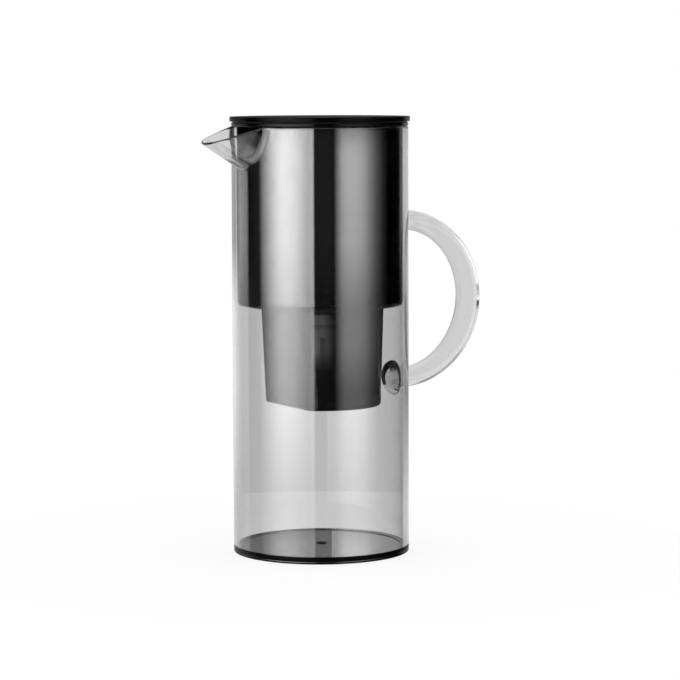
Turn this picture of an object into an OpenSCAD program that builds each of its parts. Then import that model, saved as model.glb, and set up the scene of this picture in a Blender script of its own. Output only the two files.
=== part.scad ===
// Water filter jug: a tall round jug with a drawn lip and a half-ring handle, a hopper that hangs
// from its rim, a cup under the hopper that holds a filter cartridge, and a flat lid.
// The jug's axis is Z and it stands on z = 0, with the handle along +X and the spout along -X.

/* [Jug] */
// Outside diameter of the jug's wall
jug_d = 120; // [112:1:140]
// Height of the jug's rim above the table
jug_h = 290; // [270:1:320]
// Thickness of the jug's wall
jug_wall = 2.2; // [1.6:0.1:3]

/* [Base] */
// Height of the inside floor above the table
floor_h = 4.2; // [3:0.1:8]
// Thickness of the foot flange under the wall
foot_t = 1.8; // [1.2:0.1:2.6]
// Chamfer of the flange's upper edge
foot_chamfer = 0.5; // [0.2:0.1:0.8]
// Width of the raised border between the floor and the wall
border_w = 3.8; // [2:0.1:8]
// Height of the border above the floor
border_h = 0.5; // [0.3:0.1:2]
// Diameter of the stud that the moulding gate leaves
gate_d = 6.8; // [3:0.1:12]
// Height of the stud above the floor
gate_h = 0.8; // [0.4:0.1:1.8]

/* [Spout] */
// Reach of the spout's tip beyond the wall
spout_reach = 27.7; // [22:0.1:34]
// Width of the lip where it leaves the wall
spout_root_w = 56; // [48:1:62]
// Fall of the rim from the wall to the tip
spout_drop = 10.6; // [5:0.1:15]
// Depth of the spout's lowest point below the rim
spout_depth = 28.5; // [24:0.5:36]
// Radius of the round nose
spout_nose_r = 20.5; // [16:0.5:24]
// Thickness of the drawn lip
spout_wall = 1.6; // [1.2:0.1:2.2]

/* [Handle] */
// Radius of the ring, to the middle of its section
handle_ring_r = 54.7; // [46:0.1:62]
// Height of the ring's centre above the table
handle_h = 170; // [140:1:200]
// Distance of the ring's centre beyond the wall
handle_stand = 3.5; // [2:0.1:8]
// Thickness of the section, across the ring
handle_t = 13.7; // [11:0.1:17]
// Width of the section, along the ring's axis
handle_w = 23.2; // [20:0.1:28]
// Radius of the section's rounded edges
handle_edge_r = 4.8; // [3.5:0.1:5.2]
// Extra size of the bonding pad at each root
handle_pad = 2.4; // [1:0.1:4]
// Thickness of the bonding pad at the wall's crest
handle_pad_t = 1.6; // [1:0.1:3]

/* [Hopper] */
// Depth of the hopper below the jug's rim
hopper_depth = 121.5; // [100:0.5:140]
// Gap all round between the hopper and the jug's wall
hopper_gap = 1.3; // [0.8:0.1:3]
// Thickness of the hopper's wall
hopper_wall = 2; // [1.5:0.1:2.6]
// Thickness of the hopper's floor
hopper_floor_t = 2; // [1.5:0.1:3]
// Radius of the hopper's lower edge
hopper_edge_r = 3.6; // [2.2:0.1:5]
// Thickness of the flange that lies on the rim
flange_t = 2.4; // [1.8:0.1:4]
// Chamfer under the flange's edge
flange_chamfer = 0.5; // [0.2:0.1:0.9]
// Depth of the pouring flat on the spout's side
pour_flat = 2.4; // [1:0.1:5]

/* [Filter cup] */
// Depth of the cup below the hopper
cup_depth = 68.1; // [60:0.1:80]
// Diameter of the cup at its top
cup_top_d = 86; // [80:0.1:92]
// Diameter of the cup at its bottom
cup_bottom_d = 81.8; // [76:0.1:86]
// Distance of the cup's flat from the axis, at its top
cup_flat_top = 30; // [26:0.1:34]
// Distance of the cup's flat from the axis, at its bottom
cup_flat_bottom = 26.2; // [22:0.1:30]
// Thickness of the cup's wall and floor
cup_wall = 2; // [1.5:0.1:2.6]
// Width of the cup's flange under the hopper
cup_flange_w = 2.6; // [1.5:0.1:4]
// Thickness of the cup's flange
cup_flange_t = 1.2; // [0.8:0.1:2]
// Height of the ribs that carry the cartridge, above the cup's underside
rib_h = 28.6; // [20:0.1:34]
// Thickness of a rib
rib_t = 2; // [1.2:0.1:3]
// Reach of a rib from the cup's wall
rib_reach = 3.6; // [2.5:0.1:6]
// Diameter of an outlet hole
outlet_d = 3.2; // [2:0.1:4.5]

/* [Cartridge] */
// Height of the cartridge's shell
cart_h = 34; // [28:0.5:38]
// Gap between the shell and the cup
cart_gap = 0.8; // [0.6:0.1:1.2]
// Thickness of the shell's wall and floor
cart_wall = 1.6; // [1.4:0.1:2.2]
// Direction of the keyway, turned from the handle
key_angle = 243; // [232:1:300]
// Width of the keyway
key_w = 4; // [3:0.1:6]
// Height of the keyway
key_h = 21; // [14:0.5:23]
// Depth of the keyway in the shell
key_depth = 0.8; // [0.5:0.1:1]
// Height of the sealing lip's groove above the shell's underside
lip_h = 27; // [25:0.5:30]
// Width of the groove
lip_w = 2.6; // [1.6:0.1:3]
// Thickness of the cap
cap_t = 2; // [1.5:0.1:3]
// Width of an inlet slot
slot_w = 3; // [2:0.1:3.6]
// Distance between the middles of two inlet slots
slot_pitch = 7; // [6:0.1:10]
// Radius of the pull loop, to the middle of its wire
pull_r = 10; // [8:0.1:14]
// Diameter of the pull loop's wire
pull_d = 3; // [2:0.1:4]
// Thickness of a mesh
mesh_t = 0.6; // [0.4:0.1:1]

/* [Lid] */
// Overhang of the lid beyond the jug's wall
lid_over = 1.2; // [0.6:0.1:4]
// Thickness of the lid's disc
lid_t = 3.4; // [3:0.1:6]
// Radius of the disc's edges
lid_edge_r = 0.6; // [0.3:0.1:1.2]
// Depth of the collar that drops into the hopper
collar_depth = 6.5; // [4:0.1:12]
// Thickness of the collar
collar_wall = 2; // [1.4:0.1:3]
// Gap between the collar and the hopper
collar_gap = 0.5; // [0.3:0.1:1]
// Height of the sealing ring that shows under the lid
seal_h = 0.6; // [0.3:0.1:1.2]
// Width of the sealing ring
seal_w = 2.6; // [1.6:0.1:3]
// Depth of the sealing ring's groove in the lid
seal_groove = 1.2; // [0.8:0.1:1.6]

/* [Hidden] */
$fn = 96;
// Room past a face that a cut runs out of
cut = 1;
// Bond line between pieces that are joined for good
bond = 0.05;
// Gap under a piece that only rests on another
rest = 0.05;
// Side of a block that is larger than the whole object
big = 600;
jug_r = jug_d / 2;
jug_ir = jug_r - jug_wall;
// Spout: the rim falls along a plane that starts where the lip leaves the wall
root_x = sqrt(pow(jug_r, 2) - pow(spout_root_w / 2, 2));
tip_x = jug_r + spout_reach;
spout_tilt = atan(spout_drop / (tip_x - root_x));
nose_x = tip_x - spout_nose_r * cos(spout_tilt);
nose_z = jug_h - spout_drop + spout_nose_r * sin(spout_tilt);
point_z = jug_h - spout_depth;
// Cones that the lip is made of
lip_cones = 4;
// Handle: an oval section of four arcs, whose side arcs run into the edge arcs
handle_x = jug_r + handle_stand;
// Hopper
hopper_r = jug_ir - hopper_gap;
hopper_z = jug_h - hopper_depth;
hopper_floor_z = hopper_z + hopper_floor_t;
hopper_flat = hopper_r - pour_flat;
flange_z = jug_h + rest;
flange_top = flange_z + flange_t;
// Filter cup
cup_z = hopper_z - bond - cup_depth;
cup_top_z = hopper_z - bond;
cup_slope = (cup_top_d - cup_bottom_d) / 2 / cup_depth;
flat_slope = (cup_flat_top - cup_flat_bottom) / cup_depth;
flat_tilt = atan(flat_slope);
cup_fit = 0.15;
rib_top = cup_z + rib_h;
rib_count = 7;
rib_spread = 220;
outlet_x = 7;
outlet_rings = [[6, 9], [12, 18]];
// Cartridge
cart_z = rib_top + rest;
cart_top = cart_z + cart_h;
shell_in = -(cup_wall + cart_gap);
bed_in = shell_in - cart_wall;
lip_gap = 0.3;
lip_depth = 0.8;
lip_z = cart_z + lip_h;
key_slack = 0.5;
cap_z = cart_top + bond;
cap_margin = 7;
slot_pairs = 3;
pull_x = 7;
bed_z = cart_z + cart_wall;
bed_top = cart_top - mesh_t - 3 * bond;
// Lid
lid_r = jug_r + lid_over;
lid_z = flange_top + rest + seal_h;
collar_r = hopper_r - hopper_wall - collar_gap;
collar_flat = hopper_flat - hopper_wall - collar_gap;
seal_r = jug_r - seal_w - 1.5 * flange_chamfer;

smoke = [0.33, 0.33, 0.34];
dark_smoke = [0.10, 0.10, 0.10];
clear = [0.86, 0.87, 0.87];
black = [0.03, 0.03, 0.03];
pale = [0.78, 0.78, 0.76];

// Radius and flat of the cup's outside at a height
function cup_r(z) = cup_bottom_d / 2 + (z - cup_z) * cup_slope;
function cup_flat(z) = cup_flat_bottom + (z - cup_z) * flat_slope;

// Cone along the spout's own axis, from its point to past the rim, drawn in by a wall's thickness
module lip_cone(x, z, r, inset) {
    height = (z - point_z) / cos(spout_tilt);
    lift = inset / sin(atan(r / height));
    past = spout_drop;
    translate([-x, 0, z])
        rotate([0, -spout_tilt, 0])
            translate([0, 0, lift - height])
                cylinder(h = height - lift + past, r1 = 0, r2 = r * (height - lift + past) / height);
}

// Form of the lip: a row of cones from the round nose to the wider root at the wall
module lip_form(inset) {
    for (i = [0 : lip_cones - 1]) {
        share = i / (lip_cones - 1);
        lip_cone(nose_x + share * (root_x - nose_x), nose_z + share * (jug_h - nose_z),
            spout_nose_r + share * (spout_root_w / 2 - spout_nose_r), inset);
    }
}

// Wall of the jug: a straight tube with the lip drawn out of its rim
module jug_body() {
    foot = foot_t + bond;
    color(smoke, 0.5)
        difference() {
            union() {
                translate([0, 0, foot])
                    cylinder(h = jug_h - foot + cut, r = jug_r);
                lip_form(0);
            }
            cylinder(h = jug_h + 2 * spout_drop, r = jug_ir);
            lip_form(spout_wall);
            translate([-big / 2, -big / 2, jug_h])
                cube(big);
            translate([-root_x, 0, jug_h])
                rotate([0, -spout_tilt, 0])
                    translate([-big, -big / 2, 0])
                        cube(big);
        }
}

// Base: a foot flange under the wall, and inside it a floor with a raised border and the gate's stud
module base_plate() {
    plug_r = jug_ir - bond;
    color(smoke, 0.5) {
        cylinder(h = foot_t - foot_chamfer, r = jug_r);
        translate([0, 0, foot_t - foot_chamfer])
            cylinder(h = foot_chamfer, r1 = jug_r, r2 = jug_r - foot_chamfer);
        difference() {
            cylinder(h = floor_h + border_h, r = plug_r);
            translate([0, 0, floor_h])
                cylinder(h = border_h + cut, r = plug_r - border_w);
        }
        cylinder(h = floor_h + gate_h, d = gate_d);
    }
}

// Section of the handle: side arcs across its thickness and edge arcs at its two edges
module handle_section(grow) {
    half_w = handle_w / 2 + grow;
    half_t = handle_t / 2 + grow;
    edge_r = handle_edge_r + grow;
    edge_y = half_w - edge_r;
    side_r = (pow(edge_y, 2) + pow(half_t, 2) - pow(edge_r, 2)) / (2 * (half_t - edge_r));
    meet_y = side_r * edge_y / (side_r - edge_r);
    intersection() {
        translate([half_t - side_r, 0])
            circle(r = side_r);
        translate([side_r - half_t, 0])
            circle(r = side_r);
        translate([-half_t, -meet_y])
            square([2 * half_t, 2 * meet_y]);
    }
    for (side = [-1, 1])
        translate([0, side * edge_y])
            circle(r = edge_r);
}

// Half ring, with a straight root and a bonding pad at each end, cut to the wall
module handle() {
    color(clear, 0.5)
        difference() {
            union() {
                translate([handle_x, 0, handle_h])
                    rotate([90, 0, 0])
                        rotate([0, 0, -90])
                            rotate_extrude(angle = 180)
                                translate([handle_ring_r, 0])
                                    handle_section(0);
                for (end = [-1, 1])
                    translate([0, 0, handle_h + end * handle_ring_r])
                        rotate([0, 90, 0]) {
                            linear_extrude(height = handle_x)
                                handle_section(0);
                            linear_extrude(height = jug_r + handle_pad_t)
                                handle_section(handle_pad);
                        }
            }
            cylinder(h = jug_h, r = jug_r + bond);
        }
}

// Half space on the handle's side of an upright flat
module beyond_flat(x) {
    translate([-x, -big / 2, 0])
        cube(big);
}

// Round pot with a rounded lower edge
module pot(r, z, top, edge_r) {
    rotate_extrude() {
        translate([0, z])
            square([r - edge_r, top - z]);
        translate([0, z + edge_r])
            square([r, top - z - edge_r]);
        translate([r - edge_r, z + edge_r])
            circle(r = edge_r);
    }
}

// Hopper: a pot that hangs by its flange, with a pouring flat and a hole for the cup
module hopper() {
    color(dark_smoke, 0.9)
        difference() {
            union() {
                intersection() {
                    pot(hopper_r, hopper_z, flange_top, hopper_edge_r);
                    beyond_flat(hopper_flat);
                }
                translate([0, 0, flange_z])
                    cylinder(h = flange_chamfer, r1 = jug_r - flange_chamfer, r2 = jug_r);
                translate([0, 0, flange_z + flange_chamfer])
                    cylinder(h = flange_t - flange_chamfer, r = jug_r);
            }
            intersection() {
                pot(hopper_r - hopper_wall, hopper_floor_z, flange_top + cut, hopper_edge_r - hopper_wall);
                beyond_flat(hopper_flat - hopper_wall);
            }
            cup_form(hopper_z - cut, hopper_floor_z + cut, cup_fit);
        }
}

// Tapered round form with a leaning flat on the spout's side, grown or drawn in all round
module cup_form(z, top, grow) {
    difference() {
        translate([0, 0, z])
            cylinder(h = top - z, r1 = cup_r(z) + grow, r2 = cup_r(top) + grow);
        translate([-cup_flat(cup_z) - grow, 0, cup_z])
            rotate([0, -flat_tilt, 0])
                translate([-big, -big / 2, -big / 2])
                    cube(big);
    }
}

// Filter cup: its top stands in the hopper's floor, its flange is bonded under it
module filter_cup() {
    color(dark_smoke, 0.8)
        difference() {
            union() {
                cup_form(cup_z, hopper_floor_z, 0);
                cup_form(cup_top_z - cup_flange_t, cup_top_z, cup_flange_w);
            }
            difference() {
                cup_form(cup_z + cup_wall, hopper_floor_z + cut, -cup_wall);
                cup_ribs();
                cup_key();
            }
            for (ring = outlet_rings, i = [0 : ring[0] - 1])
                translate([outlet_x, 0, cup_z - cut])
                    rotate([0, 0, i * 360 / ring[0]])
                        translate([ring[1], 0, 0])
                            cylinder(h = cup_wall + 2 * cut, d = outlet_d);
        }
}

// Ribs inside the cup, whose tops carry the cartridge
module cup_ribs() {
    for (i = [0 : rib_count - 1])
        rotate([0, 0, (i / (rib_count - 1) - 0.5) * rib_spread])
            translate([cup_bottom_d / 2 - cup_wall - rib_reach, -rib_t / 2, cup_z])
                cube([rib_reach + cup_wall, rib_t, rib_h]);
}

// Key on the cup's inside that the cartridge's keyway slides over
module cup_key() {
    width = key_w - 2 * key_slack;
    reach = cup_wall + cart_gap + key_depth - key_slack;
    rotate([0, 0, key_angle])
        translate([cup_r(rib_top) - reach, -width / 2, rib_top - rib_h / 4])
            cube([2 * reach, width, key_h + rib_h / 4 - key_slack]);
}

// Cartridge's shell: an open tub with a keyway, a groove for its lip and a pierced floor
module cartridge_shell() {
    color(pale)
        difference() {
            cup_form(cart_z, cart_top, shell_in);
            cup_form(bed_z, cart_top + cut, bed_in);
            difference() {
                cup_form(lip_z, lip_z + lip_w, 0);
                cup_form(lip_z - cut, lip_z + lip_w + cut, shell_in - lip_depth);
            }
            rotate([0, 0, key_angle])
                translate([cup_r(cart_z) + shell_in - key_depth, -key_w / 2, cart_z - cut])
                    cube([cup_wall + cart_wall, key_w, key_h + cut]);
            for (ring = outlet_rings, i = [0 : ring[0] - 1])
                translate([outlet_x, 0, cart_z - cut])
                    rotate([0, 0, i * 360 / ring[0]])
                        translate([ring[1], 0, 0])
                            cylinder(h = cart_wall + 2 * cut, d = outlet_d);
        }
}

// Cartridge's cap: a slotted plate welded on the shell, with a pull loop
module cartridge_cap() {
    color(pale) {
        difference() {
            cup_form(cap_z, cap_z + cap_t, shell_in);
            intersection() {
                cup_form(cap_z - cut, cap_z + cap_t + cut, bed_in - cap_margin);
                for (side = [-1, 1], i = [1 : slot_pairs])
                    translate([pull_x + side * i * slot_pitch - slot_w / 2, -big / 2, cap_z - cut])
                        cube([slot_w, big, cap_t + 2 * cut]);
            }
        }
        translate([pull_x, 0, cap_z + cap_t])
            rotate([0, 0, 90])
                rotate([90, 0, 0])
                    rotate_extrude(angle = 180)
                        translate([pull_r, 0])
                            circle(d = pull_d);
        for (side = [-1, 1])
            translate([pull_x, side * pull_r, cap_z + cap_t / 2])
                cylinder(h = cap_t / 2, d = pull_d);
    }
}

// Soft lip in the shell's groove that closes the gap to the cup
module cartridge_lip_seal() {
    color(black)
        difference() {
            cup_form(lip_z + bond, lip_z + lip_w - bond, -(cup_wall + lip_gap));
            cup_form(lip_z - cut, lip_z + lip_w + cut, shell_in - lip_depth + bond);
        }
}

// Sheet that fills the shell from side to side
module mesh_sheet(z) {
    cup_form(z, z + mesh_t, bed_in - bond);
}

// Fine mesh over the bed, under the cap
module inlet_mesh() {
    color(pale)
        mesh_sheet(bed_top + bond);
}

// Fine mesh under the bed, on the shell's floor
module outlet_mesh() {
    color(pale)
        mesh_sheet(bed_z + bond);
}

// Bed of filter grains between the two meshes
module filter_media() {
    color(black)
        cup_form(bed_z + mesh_t + 2 * bond, bed_top, bed_in - bond);
}

// Lid: a disc that lies over the flange, a collar in the hopper's mouth and a groove for the seal
module lid() {
    color(black) {
        difference() {
            rotate_extrude() {
                translate([0, lid_z])
                    square([lid_r - lid_edge_r, lid_t]);
                translate([0, lid_z + lid_edge_r])
                    square([lid_r, lid_t - 2 * lid_edge_r]);
                for (z = [lid_z + lid_edge_r, lid_z + lid_t - lid_edge_r])
                    translate([lid_r - lid_edge_r, z])
                        circle(r = lid_edge_r);
            }
            ring(seal_r, seal_r + seal_w, lid_z - cut, lid_z + seal_groove);
        }
        difference() {
            intersection() {
                translate([0, 0, lid_z - collar_depth])
                    cylinder(h = collar_depth + lid_t / 2, r = collar_r);
                beyond_flat(collar_flat);
            }
            intersection() {
                translate([0, 0, lid_z - collar_depth - cut])
                    cylinder(h = collar_depth + cut, r = collar_r - collar_wall);
                beyond_flat(collar_flat - collar_wall);
            }
        }
    }
}

// Flat ring between two radii
module ring(inner_r, outer_r, z, top) {
    translate([0, 0, z])
        difference() {
            cylinder(h = top - z, r = outer_r);
            translate([0, 0, -cut])
                cylinder(h = top - z + 2 * cut, r = inner_r);
        }
}

// Soft ring in the lid's groove that rests on the hopper's flange
module lid_seal() {
    color(black)
        ring(seal_r + bond, seal_r + seal_w - bond, flange_top + rest, lid_z + seal_groove - bond);
}

jug_body();
base_plate();
handle();
hopper();
filter_cup();
cartridge_shell();
cartridge_cap();
cartridge_lip_seal();
inlet_mesh();
outlet_mesh();
filter_media();
lid();
lid_seal();
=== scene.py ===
"""Looks of a water filter jug: a smoke-tinted tube with a drawn lip and a clear half-ring handle,
a dark hopper with a filter cup that hang inside it, a cartridge and a flat black lid.

Every surface is worked out with numpy, in metres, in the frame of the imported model: the jug's axis
is Z, it stands on z = 0, the handle points along +X and the spout along -X.
"""
import math

import bpy
import numpy as np
from mathutils import Matrix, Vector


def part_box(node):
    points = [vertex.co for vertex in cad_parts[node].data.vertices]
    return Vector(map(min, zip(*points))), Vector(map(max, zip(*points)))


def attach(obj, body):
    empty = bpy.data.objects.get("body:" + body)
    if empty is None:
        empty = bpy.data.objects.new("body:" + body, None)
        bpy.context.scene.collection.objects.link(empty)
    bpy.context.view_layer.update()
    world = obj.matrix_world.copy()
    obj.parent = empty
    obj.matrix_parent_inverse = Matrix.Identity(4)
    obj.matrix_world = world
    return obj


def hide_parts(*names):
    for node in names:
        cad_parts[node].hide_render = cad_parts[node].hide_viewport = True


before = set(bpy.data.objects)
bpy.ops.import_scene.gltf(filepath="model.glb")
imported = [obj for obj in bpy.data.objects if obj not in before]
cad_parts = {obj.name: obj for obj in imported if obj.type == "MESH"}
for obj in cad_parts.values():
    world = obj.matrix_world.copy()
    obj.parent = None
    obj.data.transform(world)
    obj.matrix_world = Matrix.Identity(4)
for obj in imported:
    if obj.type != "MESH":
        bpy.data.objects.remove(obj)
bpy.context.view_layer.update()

MM = 0.001

# Places that the frame gives
jug_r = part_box("base_plate")[1].x
foot_z, rim_z = (corner.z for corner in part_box("jug_body"))
tip_x = -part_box("jug_body")[0].x
stud_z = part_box("base_plate")[1].z
handle_top_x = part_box("handle")[1].x
handle_z = (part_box("handle")[0].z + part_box("handle")[1].z) / 2
hopper_z, flange_top = (corner.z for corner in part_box("hopper"))
cup_z, cup_top = (corner.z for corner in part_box("filter_cup"))
collar_z, lid_top = (corner.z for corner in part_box("lid"))
lid_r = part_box("lid")[1].x
seal_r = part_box("lid_seal")[1].x
seal_z, seal_top = (corner.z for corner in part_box("lid_seal"))

# Jug wall and lip
jug_wall = 2.2 * MM
bond = 0.05 * MM
foot_bevel_w, foot_bevel_h = 0.3 * MM, 0.4 * MM
lip_wall = 1.6 * MM
lip_thinning = 12 * MM
lip_root = 25.5 * MM
lip_root_x = math.sqrt(jug_r ** 2 - lip_root ** 2)
lip_sector = math.radians(38)
lip_hollow = 5 * MM
lip_drop = 10.6 * MM
lip_drop_power = 1.18
lip_depth = 28.5 * MM
lip_bend = 0.06
lip_narrowing = 1.5
lip_least_share = 0.03
lip_rows_start = rim_z - 42 * MM
nose_r = 18.5 * MM

# Base
floor_z = 4.2 * MM
border_w = 3.8 * MM
border_h = 0.5 * MM
foot_t = 1.8 * MM
foot_shade_h = 1.2 * MM
gate_r = 3.4 * MM

# Handle
handle_stand = 3.5 * MM
handle_t = 13.7 * MM
handle_w = 23.2 * MM
handle_edge = 4.8 * MM
handle_ring_x = jug_r + handle_stand
handle_ring_r = handle_top_x - handle_ring_x - handle_t / 2
flare_reach, flare_t, flare_w = 7 * MM, 5.2 * MM, 2.8 * MM

# Hopper
hopper_r = 56.5 * MM
hopper_flat = 54.1 * MM
flat_crown = 0.4 * MM
flat_band = 0.5 * MM
flat_corner = 3.0 * MM
least_corner = 0.3 * MM
hopper_wall = 2.0 * MM
hopper_floor = 2.0 * MM
hopper_edge = 3.6 * MM
flange_t = 2.4 * MM
flange_z = flange_top - flange_t
hole_gap, hole_edge = 0.15 * MM, 0.3 * MM

# Filter cup
cup_r_low, cup_r_high = 40.9 * MM, 43.0 * MM
cup_flat_low, cup_flat_high = 26.2 * MM, 30.0 * MM
cup_corner = 2.4 * MM
cup_wall = 2.0 * MM
cup_flange_w = 2.6 * MM
cup_flange_t = 1.2 * MM
rib_h, rib_t, rib_reach, rib_sunk, rib_foot = 28.6 * MM, 2.0 * MM, 3.6 * MM, 0.6 * MM, 0.5 * MM
rib_turns = np.linspace(-110, 110, 7)
key_turn, key_w, key_h, key_reach, key_inset = 243, 3.0 * MM, 20.5 * MM, 3.1 * MM, 0.2 * MM
key_level, key_start = 0.4, 0.75
outlet_r, outlet_x = 1.6 * MM, 7.0 * MM
outlet_rings = ((6, 9.0 * MM), (12, 18.0 * MM))

# Lid and its seal
lid_t = 3.4 * MM
lid_skin = 0.2 * MM
collar_r = 54.0 * MM
collar_flat = 51.6 * MM
collar_wall = 2.0 * MM
seal_w = 2.5 * MM
seal_groove = 1.2 * MM


def linear(code):
    """Turn an sRGB hex colour such as 8c8c8c into linear red, green, blue and a full alpha."""
    parts = [int(code[i:i + 2], 16) / 255 for i in (0, 2, 4)]
    return (*(p / 12.92 if p <= 0.04045 else ((p + 0.055) / 1.055) ** 2.4 for p in parts), 1.0)


def add(tree, kind, inputs=None, **settings):
    """Add a shader node: settings are its properties, inputs are constants or the sockets that feed it."""
    made = tree.nodes.new("ShaderNode" + kind)
    for key, value in settings.items():
        setattr(made, key, value)
    for key, value in (inputs or {}).items():
        if isinstance(value, bpy.types.NodeSocket):
            tree.links.new(value, made.inputs[key])
        else:
            made.inputs[key].default_value = value
    return made


def new_material(name):
    """Make an empty node material and return it with its tree and its Object coordinates."""
    made = bpy.data.materials.new(name)
    made.use_nodes = True
    made.node_tree.nodes.clear()
    return made, made.node_tree, add(made.node_tree, "TexCoord").outputs["Object"]


def clear_plastic(name, tint, deep_tint, density, ripple, ior=1.57, painted_shade_axes=(), dark="", ring=None):
    """See-through styrene plastic, polished: it bends and mirrors light at its faces and swallows some on
    the way. Thick edges look darker than thin walls, and a faint ripple keeps the gloss from being dead even.
    The ripple is noise drawn out upright. With a ring, given by the x and z of its middle, it is noise of the
    distance from there, in fine streaks round the ring. A painted shade, a darker tint, can take over along
    an axis, given with the places where it is full and where it ends."""
    ripple_apart, ripple_draw, ripple_h, streaks_apart = 25 * MM, 0.08, 0.4 * MM, 2.4 * MM
    dullest = 0.012
    made, tree, place = new_material(name)
    if ring:
        beside = add(tree, "VectorMath", {0: place, 1: (ring[0], 0, ring[1])}, operation="SUBTRACT")
        in_plane = add(tree, "VectorMath", {0: beside.outputs[0], 1: (1, 0, 1)}, operation="MULTIPLY")
        out = add(tree, "VectorMath", {0: in_plane.outputs[0]}, operation="LENGTH")
        long_way, apart = add(tree, "CombineXYZ", {"X": out.outputs["Value"]}), streaks_apart
    else:
        long_way, apart = add(tree, "Mapping", {"Vector": place, "Scale": (1, 1, ripple_draw)}), ripple_apart
    flow = add(tree, "TexNoise", {"Vector": long_way.outputs[0], "Scale": 1 / apart, "Detail": 1.0})
    gloss = add(tree, "MapRange", {"Value": flow.outputs["Fac"], "To Min": 0.0, "To Max": dullest})
    shade = add(tree, "MixRGB", {
        "Fac": flow.outputs["Fac"], "Color1": linear(tint[0]), "Color2": linear(tint[1])})
    # Painted shade: a darker tint takes over along each given axis
    for axis, full, end in painted_shade_axes:
        along = add(tree, "SeparateXYZ", {"Vector": place}).outputs[axis]
        share = add(tree, "MapRange", {"Value": along, "From Min": end, "From Max": full})
        shade = add(tree, "MixRGB", {
            "Fac": share.outputs[0], "Color1": shade.outputs[0], "Color2": linear(dark)})
    bump = add(tree, "Bump", {"Height": flow.outputs["Fac"], "Strength": ripple, "Distance": ripple_h})
    skin = add(tree, "BsdfPrincipled", {
        "Base Color": shade.outputs[0], "Roughness": gloss.outputs[0], "IOR": ior,
        "Transmission Weight": 1.0, "Normal": bump.outputs[0]})
    depth = add(tree, "VolumeAbsorption", {"Color": linear(deep_tint), "Density": density})
    add(tree, "OutputMaterial", {"Surface": skin.outputs[0], "Volume": depth.outputs[0]})
    return made


def solid_plastic(name, colours, grain, bump_depth, roughness, specular=0.5):
    """Moulded opaque plastic: a fine grain of the mould in bump and gloss, and a slow drift between two
    shades over about 18 mm."""
    drift_size = 18 * MM
    made, tree, place = new_material(name)
    drift = add(tree, "TexNoise", {"Vector": place, "Scale": 1 / drift_size, "Detail": 3.0})
    fine = add(tree, "TexNoise", {"Vector": place, "Scale": 1 / grain, "Detail": 2.0})
    shade = add(tree, "MixRGB", {
        "Fac": drift.outputs["Fac"], "Color1": linear(colours[0]), "Color2": linear(colours[1])})
    gloss = add(tree, "MapRange", {
        "Value": fine.outputs["Fac"], "To Min": roughness[0], "To Max": roughness[1]})
    bump = add(tree, "Bump", {"Height": fine.outputs["Fac"], "Strength": 0.5, "Distance": bump_depth})
    skin = add(tree, "BsdfPrincipled", {
        "Base Color": shade.outputs[0], "Roughness": gloss.outputs[0], "IOR": 1.5,
        "Specular IOR Level": specular, "Normal": bump.outputs[0]})
    add(tree, "OutputMaterial", {"Surface": skin.outputs[0]})
    return made


def woven_mesh():
    """Woven polyester filter mesh, pale and matt: threads cross at right angles, the higher of two waves.
    The real spacing of 0.2 mm is too fine to show and is drawn at 0.8 mm."""
    pitch = 0.8 * MM
    # The wave texture repeats every 2 pi / 20 at scale 1
    scale = 0.05 / pitch * 2 * math.pi
    made, tree, place = new_material("woven polyester mesh")
    warp = add(tree, "TexWave", {"Vector": place, "Scale": scale}, bands_direction="X")
    weft = add(tree, "TexWave", {"Vector": place, "Scale": scale}, bands_direction="Y")
    cross = add(tree, "Math", {0: warp.outputs["Fac"], 1: weft.outputs["Fac"]}, operation="MAXIMUM")
    # Painted shade: the weave is darker where it sinks between the threads
    shade = add(tree, "MixRGB", {
        "Fac": cross.outputs[0], "Color1": linear("6f6e69"), "Color2": linear("e4e2da")})
    bump = add(tree, "Bump", {"Height": cross.outputs[0], "Strength": 0.7, "Distance": 0.15 * MM})
    skin = add(tree, "BsdfPrincipled", {
        "Base Color": shade.outputs[0], "Roughness": 0.75, "Sheen Weight": 0.2, "Normal": bump.outputs[0]})
    add(tree, "OutputMaterial", {"Surface": skin.outputs[0]})
    return made


def filter_grains():
    """Bed of activated carbon and resin beads, about 0.9 mm across: dull dark grains with some glossier amber
    ones among them. Each cell of a cell pattern is a grain, highest at its middle."""
    grain_size = 0.9 * MM
    made, tree, place = new_material("carbon and resin grains")
    beads = add(tree, "TexVoronoi", {"Vector": place, "Scale": 1 / grain_size})
    pick = add(tree, "SeparateColor", {"Color": beads.outputs["Color"]})
    amber = add(tree, "MapRange", {"Value": pick.outputs[0], "From Min": 0.62, "From Max": 0.66})
    shade = add(tree, "MixRGB", {
        "Fac": amber.outputs[0], "Color1": linear("1d1b19"), "Color2": linear("7a5a2e")})
    gloss = add(tree, "MapRange", {"Value": amber.outputs[0], "To Min": 0.8, "To Max": 0.35})
    height = add(tree, "Math", {0: 1.0, 1: beads.outputs["Distance"]}, operation="SUBTRACT")
    bump = add(tree, "Bump", {"Height": height.outputs[0], "Strength": 1.0, "Distance": 0.4 * MM})
    skin = add(tree, "BsdfPrincipled", {
        "Base Color": shade.outputs[0], "Roughness": gloss.outputs[0], "Normal": bump.outputs[0]})
    add(tree, "OutputMaterial", {"Surface": skin.outputs[0]})
    return made


# Tube: a thin tint that shows what stands inside and goes dark where the eye looks along the wall
smoke_san = clear_plastic(
    "smoke SAN, drawn tube", ("fbfbfb", "fefefe"), "9a9a9d", 121.0, 0.004)
# Base: the same plastic with more dye, so that the floor looks darker than the wall
base_san = clear_plastic(
    "smoke SAN, moulded base", ("fbfbfb", "fefefe"), "9a9a9d", 280.0, 0.004)
# Painted shade on the wall's foot band, the foot's lower edge, the gate's stud and the key's edges: black
# faces that hardly shine
painted_shade_black = solid_plastic(
    "smoke SAN, painted shade", ("040404", "060606"), 0.6 * MM, 0.01 * MM, (0.3, 0.36), specular=0.03)
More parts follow.
